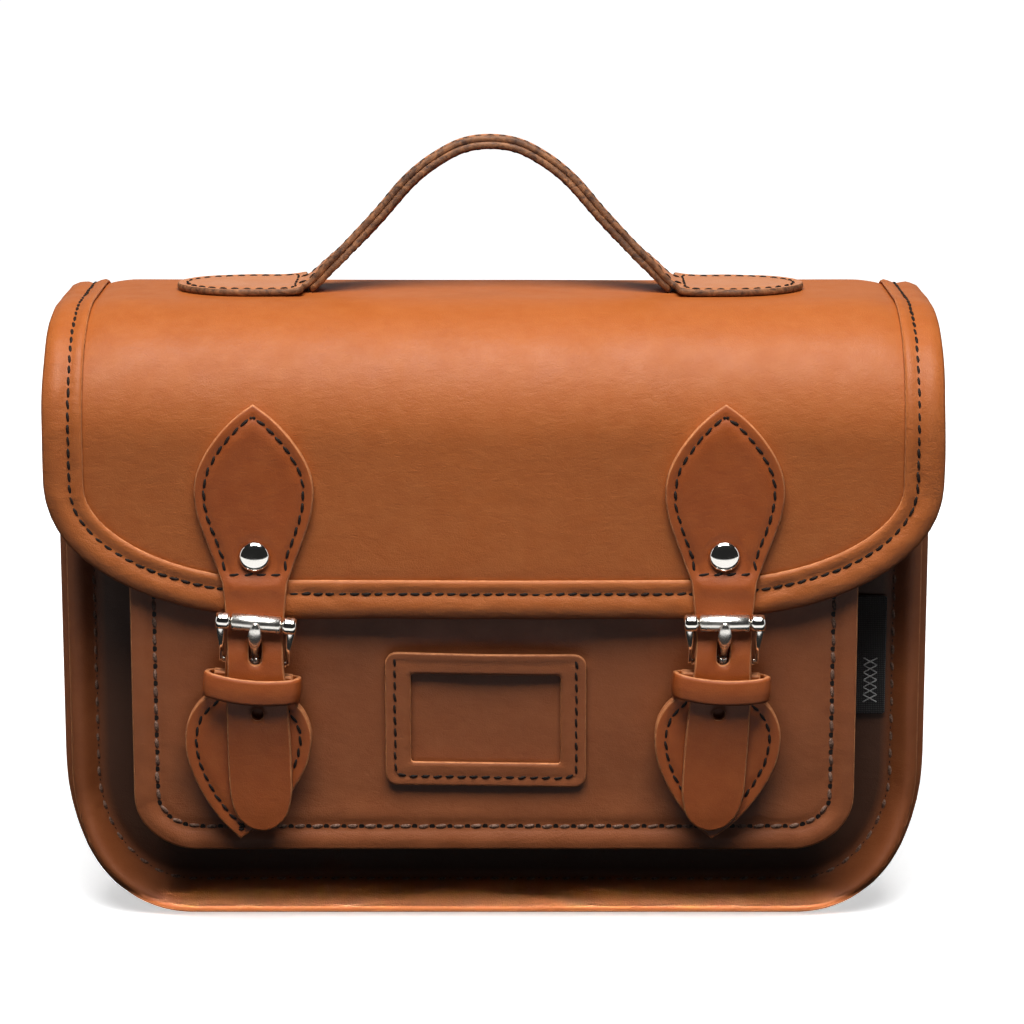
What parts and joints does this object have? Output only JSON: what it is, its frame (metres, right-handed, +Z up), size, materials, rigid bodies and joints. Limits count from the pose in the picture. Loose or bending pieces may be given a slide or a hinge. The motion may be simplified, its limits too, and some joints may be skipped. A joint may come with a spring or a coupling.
{
  "type": "satchel bag",
  "caption": "Small leather satchel with a full bound flap, front pocket with a label window, buckled strap closures, top handle and side D-rings.",
  "frame": {"origin": "middle of the bag's footprint box, on the surface that it stands on", "axes": "+X to the bag's left-hand side seen from behind, which is the viewer's right seen from the front, +Y to its back, +Z up; the flap and buckles face -Y"},
  "size_m": [0.3, 0.1238, 0.2664],
  "materials": {
    "flap_leather": "smooth satin tan leather with a fine grain and lighter cut edges",
    "body_leather": "smooth satin chestnut leather with a fine grain and lighter cut edges",
    "strap_leather": "smooth satin brown strap leather with dark stitching",
    "nickel": "polished nickel plate",
    "black_weave": "tightly woven black ribbon"
  },
  "bodies": {
    "bag": {"front_panel": "body_leather", "back_panel": "body_leather", "main_gusset": "body_leather", "pocket_panel": "body_leather", "pocket_gusset": "body_leather", "id_window_frame": "body_leather", "woven_label": "black_weave", "magnet_base_left": "nickel", "magnet_base_right": "nickel", "chape_left": "strap_leather", "chape_right": "strap_leather", "chape_rivet_left": "nickel", "chape_rivet_right": "nickel"},
    "flap": {"flap": "flap_leather", "flap_binding": "flap_leather", "handle_tab_left": "flap_leather", "handle_tab_right": "flap_leather", "strap_head_left": "strap_leather", "strap_head_right": "strap_leather", "rivet_cap_left": "nickel", "rivet_cap_right": "nickel", "rivet_back_left": "nickel", "rivet_back_right": "nickel"},
    "handle": {"handle_strap": "flap_leather", "handle_lining": "flap_leather"},
    "strap_left": {"strap_tail_left": "strap_leather", "tab_front_left": "strap_leather", "tab_back_left": "strap_leather", "keeper_left": "strap_leather", "magnet_stud_left": "nickel"},
    "buckle_left": {"buckle_frame_left": "nickel"},
    "roller_left": {"roller_left": "nickel"},
    "tongue_left": {"tongue_left": "nickel"},
    "d_ring_left": {"d_ring_left": "nickel"},
    "strap_right": {"strap_tail_right": "strap_leather", "tab_front_right": "strap_leather", "tab_back_right": "strap_leather", "keeper_right": "strap_leather", "magnet_stud_right": "nickel"},
    "buckle_right": {"buckle_frame_right": "nickel"},
    "roller_right": {"roller_right": "nickel"},
    "tongue_right": {"tongue_right": "nickel"},
    "d_ring_right": {"d_ring_right": "nickel"}
  },
  "joints": [
    {"name": "flap_hinge", "type": "hinge", "parent": "bag", "child": "flap", "pos_m": [0, 0.058, 0.2033], "axis": [-1, 0, 0], "range_deg": [0, 180]},
    {"name": "handle_lean", "type": "hinge", "parent": "flap", "child": "handle", "pos_m": [-0.0014, 0.0145, 0.218], "axis": [1, 0, 0], "range_deg": [-35, 35], "stiffness_Nm_per_rad": 0.12},
    {"name": "strap_left_swing", "type": "hinge", "parent": "flap", "child": "strap_left", "pos_m": [-0.0797, -0.0536, 0.12545], "axis": [-1, 0, 0], "range_deg": [0, 70]},
    {"name": "buckle_left_tilt", "type": "hinge", "parent": "strap_left", "child": "buckle_left", "pos_m": [-0.08035, -0.0507, 0.09653], "axis": [0.9962, 0, -0.0872], "range_deg": [0, 4]},
    {"name": "roller_left_spin", "type": "hinge", "parent": "buckle_left", "child": "roller_left", "pos_m": [-0.07907, -0.0571, 0.11117], "axis": [0.9962, 0, -0.0872], "continuous": true},
    {"name": "tongue_left_tilt", "type": "hinge", "parent": "buckle_left", "child": "tongue_left", "pos_m": [-0.08035, -0.0507, 0.09653], "axis": [0.9962, 0, -0.0872], "range_deg": [0, 5]},
    {"name": "strap_right_swing", "type": "hinge", "parent": "flap", "child": "strap_right", "pos_m": [0.0769, -0.0536, 0.12545], "axis": [-1, 0, 0], "range_deg": [0, 70]},
    {"name": "buckle_right_tilt", "type": "hinge", "parent": "strap_right", "child": "buckle_right", "pos_m": [0.0769, -0.0507, 0.0965], "axis": [1, 0, 0], "range_deg": [0, 4]},
    {"name": "roller_right_spin", "type": "hinge", "parent": "buckle_right", "child": "roller_right", "pos_m": [0.0769, -0.0571, 0.1112], "axis": [1, 0, 0], "continuous": true},
    {"name": "tongue_right_tilt", "type": "hinge", "parent": "buckle_right", "child": "tongue_right", "pos_m": [0.0769, -0.0507, 0.0965], "axis": [1, 0, 0], "range_deg": [0, 5]},
    {"name": "d_ring_left_swing", "type": "hinge", "parent": "bag", "child": "d_ring_left", "pos_m": [-0.1418, 0.0205, 0.172], "axis": [0, 1, 0], "range_deg": [0, 110]},
    {"name": "d_ring_right_swing", "type": "hinge", "parent": "bag", "child": "d_ring_right", "pos_m": [0.1418, 0.0205, 0.172], "axis": [0, -1, 0], "range_deg": [0, 110]}
  ]
}
